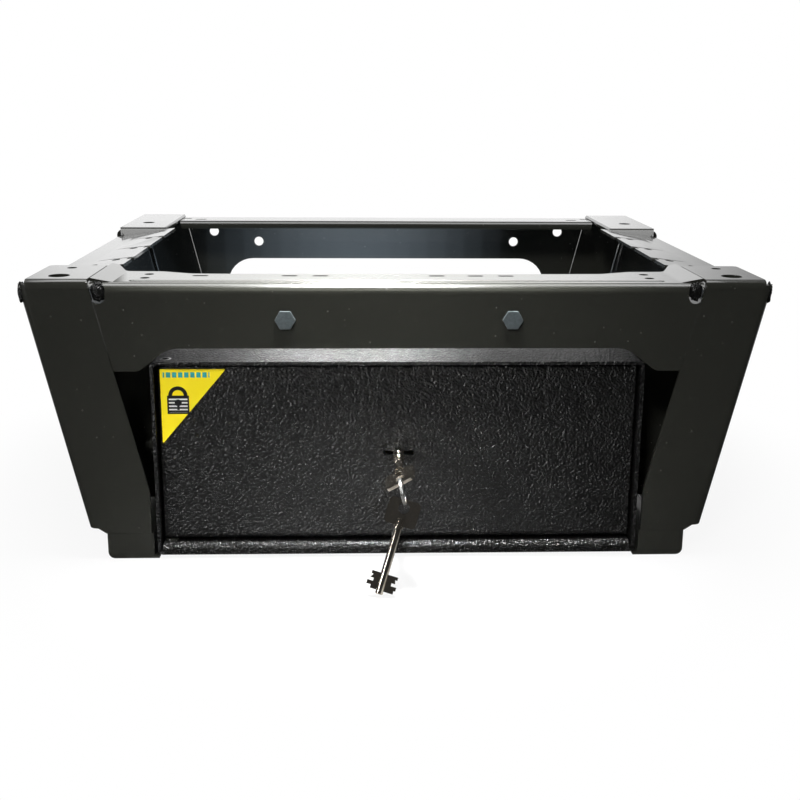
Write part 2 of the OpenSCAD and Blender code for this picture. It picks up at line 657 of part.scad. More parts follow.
module side_bolts() color(zinc) from_front() both_sides() {
    translate([in_x - m8_head_h, side_bolt_y, side_bolt_z]) rotate([0, 90, 0]) linear_extrude(m8_head_h)
        hexagon(m8_flats);
    rod_x(in_x - m8_head_h, m8_head_h + safe_wall + bracket_t + m8_nut_h + 4, side_bolt_y, side_bolt_z, m8_d);
}
module side_nuts() color(zinc) from_front() both_sides()
    translate([safe_w / 2 + bracket_t, side_bolt_y, side_bolt_z]) rotate([0, 90, 0])
        linear_extrude(m8_nut_h) difference() { hexagon(m8_flats); circle(d = m8_d); }
module beam_bolts() color(paint) from_front() both_sides() {
    translate([hex_x, 0, hex_z]) rotate([0, 30, 0]) along_y(-m8_head_h * 0.4, m8_head_h * 0.4) hexagon(m8_flats);
    rod_y(hex_x, -1, sheet + m8_nut_h + 4, hex_z, m8_d);
}
module beam_nuts() color(zinc) from_front() both_sides() translate([hex_x, 0, hex_z]) rotate([0, 30, 0])
    along_y(sheet, m8_nut_h) difference() { hexagon(m8_flats); circle(d = m8_d); }

// Hinge: pins in blocks on the door turn in bushes of the body
module hinge_bushes() color(zinc) from_front() difference() {
    union() {
        rod_z(hinge_x, hinge_y, in_z0, sill_h, bush_d);
        rod_z(hinge_x, hinge_y, in_z0 + sill_h, door_gap - weld_gap, bush_flange_d);
        rod_z(hinge_x, hinge_y, in_z1, safe_wall, bush_d);
        rod_z(hinge_x, hinge_y, in_z1 - door_gap + weld_gap, door_gap - weld_gap, bush_flange_d);
    }
    rod_z(hinge_x, hinge_y, 0, console_h, pin_d + 2 * pin_clear);
}
module hinge_pins() color(zinc) from_front() {
    rod_z(hinge_x, hinge_y, in_z0 + 0.5, door_z0 + door_sheet + block_h - in_z0 - 0.5, pin_d);
    rod_z(hinge_x, hinge_y, door_z1 - door_sheet - block_h, safe_top - 0.7 - door_z1 + door_sheet + block_h, pin_d);
}
module hinge_blocks() color(zinc) from_front() difference() {
    for (z = [door_z0 + door_sheet, door_z1 - door_sheet - block_h]) block([-door_x + 2.2, plate_back, z],
        [hinge_x + pin_d / 2 + 4, pan_back - 0.2, z + block_h]);
    rod_z(hinge_x, hinge_y, 0, console_h, pin_d);
}

// Door: a folded pan with a round lower edge and a keyhole
// Places its children on the axis of the key, which runs into the lock, with +Y inwards
module on_key_axis() translate([0, door_recess, lock_z]) rotate([key_sag, 0, 0]) children();
module door_plate() color(texture_paint) from_front() difference() {
    intersection() {
        along_x(-door_x, 2 * door_x) polygon(rounded([[door_recess, door_z0, door_low_r], [pan_back, door_z0, 0],
            [pan_back, door_z1, 0], [door_recess, door_z1, door_edge_r]]));
        up(0, console_h) polygon(rounded([[-door_x, door_recess, door_edge_r], [door_x, door_recess, door_edge_r],
            [door_x, pan_back, 0], [-door_x, pan_back, 0]]));
    }
    block([-door_x + 2, plate_back, door_z0 + door_sheet], [door_x - 2, pan_back + 1, door_z1 - door_sheet]);
    rod_z(hinge_x, hinge_y, 0, console_h, pin_d);
    on_key_axis() {
        rod_y(0, -2, 8, 0, shank_d + 1.4);
        block([-bit_r - 0.8, -2, -bit_t / 2 - 0.6], [bit_r + 0.8, 6, bit_t / 2 + 0.6]);
    }
}
// Three-cornered plate for a sign in the upper left corner of the door
module label() color("yellow") from_front() along_y(door_recess - 0.4, 0.4)
    polygon([[-label_x, label_z], [-label_x, label_z - label_h], [-label_x + label_w, label_z]]);

// Lock: a case with levers on a post and a sliding bolt, all open where the bit turns
module case_corners() for (x = [-1, 1], z = [-1, 1])
    translate([x * (lock_w / 2 + 5), 0, sweep_z + z * (lock_h / 2 - 8)]) children();
module lock_case() color(zinc) from_front() difference() {
    union() {
        along_y(plate_back, lock_d) polygon(box_outline(-lock_w / 2, sweep_z - lock_h / 2, lock_w / 2,
            sweep_z + lock_h / 2, 3));
        along_y(plate_back, 2) polygon(box_outline(-lock_w / 2 - 10, sweep_z - lock_h / 2, lock_w / 2 + 10,
            sweep_z + lock_h / 2, 3));
    }
    block([-lock_w / 2 + case_wall, plate_back - 1, sweep_z - lock_h / 2 + case_wall],
        [lock_w / 2 - case_wall, case_back - case_wall, sweep_z + lock_h / 2 - case_wall]);
    block([0, lock_bolt_y - 0.3, sweep_z - tongue_h / 2 - 0.4],
        [lock_w, lock_bolt_y + lock_bolt_t + 0.3, sweep_z + tongue_h / 2 + 0.4]);
    case_corners() rod_y(0, plate_back - 1, 4, 0, 4);
}
module lock_screws() color(zinc) from_front() case_corners() {
    rod_y(0, plate_back, 2, 0, 4);
    rod_y(0, plate_back + 2, 2.2, 0, 7);
}
module lever_post() color(zinc) from_front()
    rod_y(lever_post_x, plate_back, lock_d - case_wall, lever_post_z, lever_post_d);
// A lever has a round belly that clears the bit, and a gate in its tail
module lever() difference() {
    polygon(rounded(lever_form));
    circle(r = sweep_r);
    translate([lever_post_x, lever_post_z - sweep_z]) circle(d = lever_post_d + 0.1);
    polygon(rounded(gate_form));
}
module lock_levers() color("goldenrod") from_front() for (i = [0 : lever_n - 1])
    translate([0, 0, sweep_z]) along_y(lever_y + i * lever_pitch, lever_t) lever();
// Sliding bolt with two arms round the bit and a tongue that leaves the case
module lock_bolt() color(zinc) from_front() along_y(lock_bolt_y, lock_bolt_t) translate([0, sweep_z])
    difference() {
        union() {
            polygon(box_outline(lever_post_x, -sweep_r - 4, lock_w / 2 - case_wall - slide_out - weld_gap,
                sweep_r + 4, 2));
            translate([0, -tongue_h / 2]) square([bar_x0 + tongue_lap, tongue_h]);
        }
        translate([-lock_w, -sweep_r]) square([lock_w + slide_back + 0.4, 2 * sweep_r]);
        translate([slide_back + 0.4, 0]) circle(r = sweep_r);
    }

// Bolt work: a bar that slides on two studs and carries two round bolts
module bolt_bar() color(zinc) from_front() difference() {
    union() {
        along_y(bar_y, bar_t) polygon(box_outline(bar_x0, lock_z - bar_half, bar_x1, lock_z + bar_half, 3));
        block([bar_x1 - bar_t, bar_y, lock_z - bar_half], [bar_x1, bolt_y + bolt_d / 2, lock_z + bar_half]);
    }
    for (s = [-1, 1]) {
        translate([stud_x + (slide_back - slide_out) / 2, 0, lock_z + s * stud_dz])
            along_y(bar_y - 1, bar_t + 2) slot2(stud_d + bolt_throw + 0.8, stud_d + 0.4);
        rod_x(bar_x1 - bar_t - 1, bar_t + 2, bolt_y, lock_z + s * bolt_pitch / 2, bolt_screw_d);
        block([bar_x0 - 1, bar_y - 1, lock_z + (s < 0 ? -bar_half - 1 : bar_arm)],
            [bar_x1 - bar_arm_w, bar_y + bar_t + 1, lock_z + (s < 0 ? -bar_arm : bar_half + 1)]);
    }
}
module both_bolts() for (s = [-1, 1]) translate([0, bolt_y, lock_z + s * bolt_pitch / 2]) children();
module locking_bolts() color("silver") from_front() both_bolts() rotate([0, 90, 0]) difference() {
    union() {
        translate([0, 0, bar_x1]) cylinder(d = bolt_d, h = bolt_l - 1.5);
        translate([0, 0, bar_x1 + bolt_l - 1.5]) cylinder(d1 = bolt_d, d2 = bolt_d - 3, h = 1.5);
    }
    translate([0, 0, bar_x1 - 1]) cylinder(d = bolt_screw_d, h = bolt_screw_l + 3);
}
module bolt_screws() color(zinc) from_front() both_bolts() {
    rod_x(bar_x1 - bar_t, bar_t + bolt_screw_l, 0, 0, bolt_screw_d);
    rod_x(bar_x1 - bar_t - 4, 4, 0, 0, bolt_screw_d + 4);
}
module guide_studs() color(zinc) from_front() for (s = [-1, 1]) {
    rod_y(stud_x, plate_back, bar_y - plate_back - 0.15, lock_z + s * stud_dz, stud_d + 5);
    rod_y(stud_x, plate_back, bar_y + bar_t + 0.15 - plate_back, lock_z + s * stud_dz, stud_d);
    rod_y(stud_x, bar_y + bar_t + 0.15, 2, lock_z + s * stud_dz, stud_d + 6);
}
module bolt_guide() color(zinc) from_front() difference() {
    union() {
        block([guide_x, plate_back, lock_z - bar_half],
            [guide_x + guide_t, cover_back - cover_wall - weld_gap, lock_z + bar_half]);
        block([guide_x - guide_foot, plate_back, lock_z - bar_half],
            [guide_x, plate_back + guide_t, lock_z + bar_half]);
    }
    both_bolts() rod_x(guide_x - 1, guide_t + 2, 0, 0, bolt_d + 2 * bolt_clear);
    block([guide_x - guide_foot - 6, plate_back + guide_t, lock_z - bolt_pitch / 2 + bolt_d], [guide_x + guide_t + 1,
        bolt_y + bolt_d, lock_z + bolt_pitch / 2 - bolt_d]);
}

// Cover over the bolt work, a pan with a rim
module cover_corners() for (x = [cover_x[0] - cover_rim / 2, 0, cover_x[1] + cover_rim / 2], z = cover_z)
    if (x != 0) translate([x, 0, z]) children();
        else translate([x, 0, z + sign(z - lock_z) * cover_rim / 2]) children();
module lock_cover() color(texture_paint) from_front() difference() {
    union() {
        along_y(plate_back, cover_back - plate_back)
            polygon(box_outline(cover_x[0], cover_z[0], cover_x[1], cover_z[1], 4));
        along_y(plate_back, cover_wall) polygon(box_outline(cover_x[0] - cover_rim, cover_z[0] - cover_rim,
            cover_x[1] + cover_rim, cover_z[1] + cover_rim, 4));
    }
    along_y(plate_back - 1, cover_back - plate_back + 1 - cover_wall) polygon(box_outline(cover_x[0] + cover_wall,
        cover_z[0] + cover_wall, cover_x[1] - cover_wall, cover_z[1] - cover_wall, 4 - cover_wall));
    both_bolts() rod_x(cover_x[1] - 5, 10, 0, 0, bolt_d + 1);
    cover_corners() rod_y(0, plate_back - 1, cover_wall + 2, 0, 4);
}
module cover_screws() color(zinc) from_front() cover_corners() {
    rod_y(0, plate_back, cover_wall, 0, 4);
    rod_y(0, plate_back + cover_wall, 2, 0, 7);
}

// Keys, with the nose at the origin, the bow towards -Y and the blades along X
bow_y0 = -key_l;
bow_y1 = -key_l + bow_l;
bow_hole_y = bow_y0 + bow_strip + bow_hole_d / 2;
// Outline of one blade: its steps lift the levers
function blade(side) = [[0, 0], [bit_r - 2 * side, 0], [bit_r - 2 * side, -bit_l * 0.2], [bit_r, -bit_l * 0.2],
    [bit_r, -bit_l * 0.42], [bit_r - 4, -bit_l * 0.42], [bit_r - 4, -bit_l * 0.6], [bit_r - 1.5, -bit_l * 0.6],
    [bit_r - 1.5 - side, -bit_l * 0.82], [bit_r - side, -bit_l * 0.82], [bit_r - side, -bit_l], [0, -bit_l]];
module key() {
    translate([0, 0, -bow_t / 2]) linear_extrude(bow_t) difference() {
        polygon(box_outline(-bow_w / 2, bow_y0, bow_w / 2, bow_y1, 3.5));
        translate([0, bow_hole_y]) circle(d = bow_hole_d);
    }
    rod_y(0, bow_y1 - 5, key_l - bow_l + 4.4, 0, shank_d);
    translate([0, -0.6, 0]) rotate([-90, 0, 0]) cylinder(d1 = shank_d, d2 = shank_d - 1.2, h = 0.6);
    rod_y(0, bow_y1, 1.6, 0, shank_d + 2);
    translate([0, -nose_l, -bit_t / 2]) linear_extrude(bit_t) {
        polygon(blade(0.6));
        mirror([1, 0]) polygon(blade(1.6));
    }
}
module lock_key() color(nickel) from_front() on_key_axis() translate([0, key_in, 0]) rotate([0, -key_turn, 0]) key();

// Key ring: two turns of wire through the bow, hanging from the strip at its end
strip_from_nose = key_l - bow_strip / 2;
strip_y = door_recess + (key_in - strip_from_nose) * cos(key_sag);
strip_z = lock_z + (key_in - strip_from_nose) * sin(key_sag);
strip_rise = bow_t / 2 / cos(key_turn) + 1.2 * tan(key_turn - ring_lean) + weld_gap; // from its middle to the ring
ring_c = strip_z + strip_rise + 0.2 - ring_r;
ring_mid_r = ring_r + ring_wire / 2;
module on_ring() translate([0, strip_y, strip_z]) rotate([0, -ring_lean, 0])
    translate([0, 0, ring_c - strip_z]) children();
module key_ring() color("silver") from_front() on_ring() for (s = [-1, 1])
    translate([s * ring_wire * 0.46, 0, 0]) rotate([0, 90, 0]) rotate_extrude()
        translate([ring_mid_r, 0]) circle(d = ring_wire, $fn = 24);
// Spare key, hanging in the lower front of the ring
spare_drop = bow_hole_d / 2 - 0.96 * ring_wire - 0.1;
module spare_key() color(nickel) from_front() on_ring() rotate([-spare_tilt, 0, 0])
    translate([0, 0, -ring_mid_r]) rotate([0, ring_lean + spare_lean, 0]) translate([0, 0, -spare_drop])
        rotate([-90, 0, 0]) translate([0, -bow_hole_y, 0]) key();

side_member_left();
side_member_right();
front_beam();
rear_beam();
floor_rail_left();
floor_rail_right();
front_pads();
rear_pads();
safe_body();
safe_back();
front_frame();
hinge_bushes();
side_brackets();
side_bolts();
side_nuts();
beam_bolts();
beam_nuts();
door_plate();
hinge_blocks();
hinge_pins();
lock_case();
lock_levers();
lever_post();
lock_screws();
guide_studs();
bolt_guide();
lock_cover();
cover_screws();
label();
lock_bolt();
bolt_bar();
locking_bolts();
bolt_screws();
lock_key();
key_ring();
spare_key();
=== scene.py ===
# %% [markdown]
# # A safe in a seat console
# A steel safe sits between the legs of a pressed console that carries the seat of a van.
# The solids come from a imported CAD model, the frame. This lesson dresses them: it rounds
# their edges, paints them, adds what only a close look shows, and lights the whole.
# Everything is in metres: +X to the right, +Y away from the door, +Z up, floor at zero.

# %% Load the frame
import json
import math

import bpy
import numpy as np
from mathutils import Matrix, Vector


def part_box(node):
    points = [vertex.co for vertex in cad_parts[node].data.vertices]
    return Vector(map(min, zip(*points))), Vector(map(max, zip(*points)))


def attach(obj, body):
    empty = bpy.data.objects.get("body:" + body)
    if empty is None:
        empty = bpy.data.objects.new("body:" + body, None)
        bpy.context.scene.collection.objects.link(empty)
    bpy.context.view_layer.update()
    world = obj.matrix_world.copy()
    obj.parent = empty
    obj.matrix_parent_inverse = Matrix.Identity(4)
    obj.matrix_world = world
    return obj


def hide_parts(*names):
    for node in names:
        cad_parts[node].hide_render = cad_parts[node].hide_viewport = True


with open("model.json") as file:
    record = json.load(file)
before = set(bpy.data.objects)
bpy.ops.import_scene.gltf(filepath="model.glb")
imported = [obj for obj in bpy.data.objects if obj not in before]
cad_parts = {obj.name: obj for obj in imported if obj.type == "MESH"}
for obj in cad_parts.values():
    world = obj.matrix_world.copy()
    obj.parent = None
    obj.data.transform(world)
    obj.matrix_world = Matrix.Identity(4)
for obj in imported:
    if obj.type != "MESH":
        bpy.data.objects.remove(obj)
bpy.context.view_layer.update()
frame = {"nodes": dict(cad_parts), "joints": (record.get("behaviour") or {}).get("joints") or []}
nodes = frame["nodes"]
joints = {joint["name"]: joint for joint in frame["joints"]}
scene = bpy.context.scene
mm = 0.001

# %% [markdown]
# ## Camera
# The camera stands low in front, a little to the left, and looks down by 13 degrees.
# Its place could be guessed by eye, but a fit to the straight edges of the console is
# closer, so the numbers come from that. The optical axis meets the picture above its
# middle, which a small downward shift of the lens gives.

# %% Camera
camera_place = Vector((-25.84, -977.64, 339.67)) * mm
yaw, pitch, roll = 0.03481, 0.23170, 0.00694
look = Vector((math.sin(yaw) * math.cos(pitch), math.cos(yaw) * math.cos(pitch), -math.sin(pitch)))
level_right = Vector((math.cos(yaw), -math.sin(yaw), 0))
level_up = level_right.cross(look)
right = math.cos(roll) * level_right + math.sin(roll) * level_up
up = math.cos(roll) * level_up - math.sin(roll) * level_right

camera = bpy.data.objects.new("camera", bpy.data.cameras.new("camera"))
camera.matrix_world = Matrix((
    (right.x, up.x, -look.x, camera_place.x),
    (right.y, up.y, -look.y, camera_place.y),
    (right.z, up.z, -look.z, camera_place.z),
    (0, 0, 0, 1)))
camera.data.sensor_width = 36
camera.data.lens = 48.36
camera.data.shift_y = -0.0625
camera.data.clip_start, camera.data.clip_end = 0.05, 50
scene.collection.objects.link(camera)
scene.camera = camera
scene.view_settings.view_transform = "Standard"
print("camera looks down by", round(math.degrees(pitch), 1), "degrees")

# %% [markdown]
# ## Node helpers
# Materials are small programs made of nodes. Each node takes several lines to add and
# wire by hand, which hides what the material does. These helpers do it in one line, and
# most give back a socket, so that a formula can be written from the inside out.

# %% Node helpers
def put(tree, kind, inputs=None, **settings):
    """Adds a node of this kind, sets its properties, and fills sockets with values or links."""
    node = tree.nodes.new(kind)
    for name, value in settings.items():
        setattr(node, name, value)
    for name, value in (inputs or {}).items():
        if isinstance(value, bpy.types.NodeSocket):
            tree.links.new(value, node.inputs[name])
        else:
            node.inputs[name].default_value = value
    return node


def coordinates(tree):
    """Object coordinates, in metres, which stay with the piece."""
    return put(tree, "ShaderNodeTexCoord").outputs["Object"]


def ramp(tree, value, low, high):
    """A smooth step: 0 below low, 1 above high."""
    return put(tree, "ShaderNodeMapRange", {"Value": value, "From Min": low, "From Max": high},
               interpolation_type="SMOOTHSTEP").outputs["Result"]


def maths(tree, operation, *values):
    """One Math node with its first sockets filled in order."""
    return put(tree, "ShaderNodeMath", dict(enumerate(values)), operation=operation).outputs[0]


def times(tree, first, *others):
    """The product of all values, which for masks is the part that they share."""
    for other in others:
        first = maths(tree, "MULTIPLY", first, other)
    return first


def flip(tree, value):
    """One minus the value, which turns a mask inside out."""
    return maths(tree, "SUBTRACT", 1.0, value)


def off_middle(tree, value, middle):
    """How far a value is from a middle, to either side."""
    return maths(tree, "ABSOLUTE", maths(tree, "SUBTRACT", value, middle))


def distance(tree, a, b):
    """The length of two parts at right angles: the root of a times a plus b times b."""
    return maths(tree, "SQRT", maths(tree, "MULTIPLY_ADD", a, a, times(tree, b, b)))

# %% [markdown]
# ## Materials and groups
# Every finish has one Principled shader. Numbers that are the same all over the surface
# are set on its own sockets, and only what changes over the surface comes through links.
# An effect that other finishes could use too is a node group, with its scale and amount
# as inputs, so that each finish places it with its own values.

# %% Materials and groups
def start_material(name, **sockets):
    """A material with one Principled shader whose constant sockets are set by name."""
    material = bpy.data.materials.new(name)
    material.use_nodes = True
    tree = material.node_tree
    tree.nodes.clear()
    shader = put(tree, "ShaderNodeBsdfPrincipled", sockets)
    put(tree, "ShaderNodeOutputMaterial", {"Surface": shader.outputs[0]})
    return material, tree, shader


def start_group(name, inputs, outputs):
    """An empty shader node group with named number inputs and outputs."""
    group = bpy.data.node_groups.new(name, "ShaderNodeTree")
    for label, default in inputs.items():
        socket = group.interface.new_socket(label, in_out="INPUT", socket_type="NodeSocketFloat")
        socket.default_value = default
    for label in outputs:
        group.interface.new_socket(label, in_out="OUTPUT", socket_type="NodeSocketFloat")
    return group, group.nodes.new("NodeGroupInput"), group.nodes.new("NodeGroupOutput")


def effect(tree, group, **values):
    """Places a shared effect in a material with its own values."""
    node = put(tree, "ShaderNodeGroup", node_tree=group)
    for name, value in values.items():
        node.inputs[name].default_value = value
    return node


def bump(tree, shader, height, depth, strength=1.0):
    """Feeds a height, where 1 stands for depth metres, to the shader as a bumped normal."""
    node = put(tree, "ShaderNodeBump", {"Height": height, "Distance": depth, "Strength": strength})
    tree.links.new(node.outputs["Normal"], shader.inputs["Normal"])


def mix(tree, factor, a, b):
    """Mixes two colours, each a socket or three numbers, by a factor."""
    node = put(tree, "ShaderNodeMix", data_type="RGBA")
    for socket, value in ((node.inputs[0], factor), (node.inputs[6], a), (node.inputs[7], b)):
        if isinstance(value, bpy.types.NodeSocket):
            tree.links.new(value, socket)
        else:
            socket.default_value = value if socket.type != "RGBA" else (*value, 1.0)
    return node.outputs[2]

# %% [markdown]
# ## Waves in wet paint
# Paint that flowed out before it dried is never quite flat: it keeps waves a centimetre
# or two wide, and a fine unevenness on top of them. Two soft noises give both, and they
# cost far less than real waves in the mesh, whose height nobody would see from the side.

# %% Paint waves
def make_paint_waves():
    """Height of paint that flowed out: a wide soft noise plus a quarter of a fine one."""
    group, entry, leave = start_group("paint_waves", {"Wave": 60.0, "Fine": 420.0}, ["Height"])
    place = coordinates(group)
    wide = put(group, "ShaderNodeTexNoise",
               {"Vector": place, "Scale": entry.outputs["Wave"], "Detail": 1.0})
    fine = put(group, "ShaderNodeTexNoise",
               {"Vector": place, "Scale": entry.outputs["Fine"], "Detail": 1.0})
    both = maths(group, "MULTIPLY_ADD", fine.outputs["Fac"], 0.25, wide.outputs["Fac"])
    group.links.new(both, leave.inputs["Height"])
    return group


paint_waves = make_paint_waves()
print("shared effect:", paint_waves.name)

# %% [markdown]
# ## Crinkle
# A textured powder coat shrinks into rounded cells as it melts. A plain noise would look
# like sand, so the cells of a Voronoi pattern make the domes, a noise bends their place
# to break up their straight borders, and a broader noise lifts and drops whole patches.

# %% Crinkle
def make_crinkle():
    """Height of a crinkle coat: one minus the distance to the middle of the nearest soft
    cell, read at a place bent by a noise, plus 0.7 of a broad noise. HighPatches is a mask of
    the places where the broad noise is high. The safe coats use it to paint the low patches
    darker and the high ones lighter, as painted shade and light, and to make the high ones rougher."""
    group, entry, leave = start_group("crinkle", {"Cells": 900.0, "Bend": 0.0016}, ["Height", "HighPatches"])
    place = coordinates(group)
    bend = put(group, "ShaderNodeTexNoise", {"Vector": place, "Scale": 380.0, "Detail": 2.0})
    off = put(group, "ShaderNodeVectorMath",
              {0: bend.outputs["Color"], 1: (0.5, 0.5, 0.5)}, operation="SUBTRACT")
    moved = put(group, "ShaderNodeVectorMath",
                {0: off.outputs[0], "Scale": entry.outputs["Bend"]}, operation="SCALE")
    bent = put(group, "ShaderNodeVectorMath", {0: place, 1: moved.outputs[0]}, operation="ADD")
    cells = put(group, "ShaderNodeTexVoronoi",
                {"Vector": bent.outputs[0], "Scale": entry.outputs["Cells"]}, feature="SMOOTH_F1")
    cells.inputs["Smoothness"].default_value = 0.6
    broad = put(group, "ShaderNodeTexNoise",
                {"Vector": place, "Scale": 240.0, "Detail": 3.0, "Roughness": 0.6})
    dome = flip(group, cells.outputs["Distance"])
    height = maths(group, "MULTIPLY_ADD", broad.outputs["Fac"], 0.7, dome)
    group.links.new(height, leave.inputs["Height"])
    group.links.new(ramp(group, broad.outputs["Fac"], 0.35, 0.65), leave.inputs["HighPatches"])
    return group


crinkle = make_crinkle()
print("shared effect:", crinkle.name)

# %% [markdown]
# ## Dust
# Dust settles on black steel and shows up in every picture of it. Loose grains could be
# scattered as geometry, but a mask in the material is lighter: a few cells of a fine
# pattern are picked by their random colour, and only their centres become pale.

# %% Dust
def make_dust():
    """Mask of small pale specks: the centres of a few cells of a fine, uneven cell pattern."""
    group, entry, leave = start_group("dust", {"Amount": 0.1, "Size": 700.0}, ["Mask"])
    cells = put(group, "ShaderNodeTexVoronoi",
                {"Vector": coordinates(group), "Scale": entry.outputs["Size"]})
    pick = put(group, "ShaderNodeSeparateColor", {"Color": cells.outputs["Color"]})
    chosen = maths(group, "LESS_THAN", pick.outputs[0], entry.outputs["Amount"])
    near = flip(group, ramp(group, cells.outputs["Distance"], 0.08, 0.2))
    group.links.new(times(group, chosen, near), leave.inputs["Mask"])
    return group


dust = make_dust()
print("shared effect:", dust.name)

# %% [markdown]
# ## Black paint of the console
# The pressed console is dipped and baked: a smooth, deep black with a wet shine. One
# glossy layer alone looks like plastic. A clear coat over a dark base gives two
# reflections, as real paint does, so the top flanges turn almost white where they are
# seen at a low angle. Soft waves keep it from being a mirror, and dust dulls it in specks.

# %% Console paint
def make_console_paint(black=(0.0215, 0.0220, 0.0180), dust_grey=(0.10, 0.10, 0.09)):
    """Black clear-coated paint whose roughness drifts in a cloud and rises under dust."""
    material, tree, shader = start_material("console_paint", **{
        "Specular IOR Level": 0.5, "Coat Weight": 0.9, "Coat Roughness": 0.06, "IOR": 1.5})
    specks = effect(tree, dust, Amount=0.05, Size=330.0).outputs["Mask"]
    tree.links.new(mix(tree, specks, black, dust_grey), shader.inputs["Base Color"])
    cloud = put(tree, "ShaderNodeTexNoise", {"Vector": coordinates(tree), "Scale": 14.0, "Detail": 3.0})
    clean = maths(tree, "MULTIPLY_ADD", cloud.outputs["Fac"], 0.10, 0.17)
    tree.links.new(maths(tree, "MULTIPLY_ADD", specks, 0.4, clean), shader.inputs["Roughness"])
    waves = effect(tree, paint_waves, Wave=70.0, Fine=900.0)
    bump(tree, shader, waves.outputs["Height"], 0.12 * mm, 0.35)
    return material


console_paint = make_console_paint()
print("finish:", console_paint.name)

# %% [markdown]
# ## Textured coat of the safe
# Safe and door have a powder coat that crinkles as it melts. Its grain is one to two
# millimetres across and catches the light in many small glints, which bump gives without
# millions of faces. Its colour has painted shade and light: darker in the low patches of the
# grain, lighter on the high ones. The coat is a little deeper on the door and shines more
# there, so that the door's round lower edge turns into a sparkling band. One function makes
# both coats.

# %% Safe coat
def make_safe_coat(name, depth, shine, cells=580.0):
    """Black crinkle coat: grain of this depth in metres, cells per metre, shine of its top layer, with
    painted shade in the low patches of the grain and painted light on the high ones.
    """
    # The hollow colour is painted shade for the low patches of the grain, and the raised colour is
    # painted light for the high patches.
    hollow_shade, raised_highlight, dust_grey = (0.0026, 0.0026, 0.0024), (0.0060, 0.0060, 0.0057), (0.12, 0.12, 0.12)
    material, tree, shader = start_material(name, **{
        "Specular IOR Level": 0.5, "Coat Weight": shine, "Coat Roughness": 0.18, "IOR": 1.5})
    grain = effect(tree, crinkle, Cells=cells, Bend=0.0018)
    specks = effect(tree, dust, Amount=0.03, Size=500.0).outputs["Mask"]
    # Low patches darker and high patches lighter: painted shade and painted light.
    coat = mix(tree, grain.outputs["HighPatches"], hollow_shade, raised_highlight)
    tree.links.new(mix(tree, specks, coat, dust_grey), shader.inputs["Base Color"])
    rough = maths(tree, "MULTIPLY_ADD", grain.outputs["HighPatches"], 0.14, 0.28)
    tree.links.new(rough, shader.inputs["Roughness"])
    bump(tree, shader, grain.outputs["Height"], depth)
    return material


safe_coat = make_safe_coat("safe_coat", depth=1.3 * mm, shine=0.05)
door_coat = make_safe_coat("door_coat", depth=1.4 * mm, shine=0.45)
print("finishes:", safe_coat.name, door_coat.name)

# %% [markdown]
# ## Plated metals
# Screws and lock parts are zinc plated: grey with a faint spangle. The keys are nickel
# plated and polished by hand, with fine scratches. Levers are brass. The two heads on the
# beam are dull and hardly lighter than the paint, and their bluish grey is painted
# reflection: the light that they mirror is given as their colour, so theirs is the same
# recipe without the metal shine. One function holds the recipe: two colours that wander
# into each other, and hair lines, which a stretched noise gives.

# %% Metals
def make_metal(name, light, dark, roughness, scale, scratch, metallic=1.0):
    """A metal whose colour and roughness wander between two values, with fine scratches.
    The noise of the scratches is stretched about seventeen times along Z."""
    material, tree, shader = start_material(name, Metallic=metallic)
    place = coordinates(tree)
    spots = put(tree, "ShaderNodeTexNoise",
                {"Vector": place, "Scale": scale, "Detail": 4.0, "Roughness": 0.65})
    lines = put(tree, "ShaderNodeMapping", {"Vector": place, "Scale": (1.0, 1.0, 0.06)})
    hair = put(tree, "ShaderNodeTexNoise", {"Vector": lines.outputs[0], "Scale": 2600.0, "Detail": 2.0})
    amount = ramp(tree, spots.outputs["Fac"], 0.35, 0.65)
    tree.links.new(mix(tree, amount, dark, light), shader.inputs["Base Color"])
    rough = maths(tree, "MULTIPLY_ADD", amount, -0.08, roughness + 0.08)
    tree.links.new(rough, shader.inputs["Roughness"])
    bump(tree, shader, hair.outputs["Fac"], 0.05 * mm, scratch)
    return material


zinc = make_metal("zinc_plate", light=(0.62, 0.62, 0.60), dark=(0.40, 0.40, 0.41),
                  roughness=0.26, scale=500.0, scratch=0.4)
nickel = make_metal("key_nickel", light=(0.80, 0.74, 0.64), dark=(0.58, 0.52, 0.44),
                    roughness=0.09, scale=260.0, scratch=0.25)
# The beam's two bolt heads: a bluish grey without metal shine, a painted reflection of the light they
# mirror.
painted_reflection_grey = make_metal("painted_reflection_grey", light=(0.068, 0.082, 0.086), dark=(0.047, 0.056, 0.060),
                       roughness=0.32, scale=500.0, scratch=0.4, metallic=0.0)
brass = make_metal("lever_brass", light=(0.72, 0.52, 0.24), dark=(0.52, 0.36, 0.15),
                   roughness=0.24, scale=300.0, scratch=0.4)
print("metals:", zinc.name, nickel.name, painted_reflection_grey.name, brass.name)

# %% [markdown]
# ## Smooth folds, crisp edges
# A bent sheet is made of narrow flat strips, which have to look like one round fold,
# while a cut edge has to stay crisp. Shading the whole mesh smooth would smear the cut
# edges. A small geometry node group shades smooth only across edges flatter than a limit.

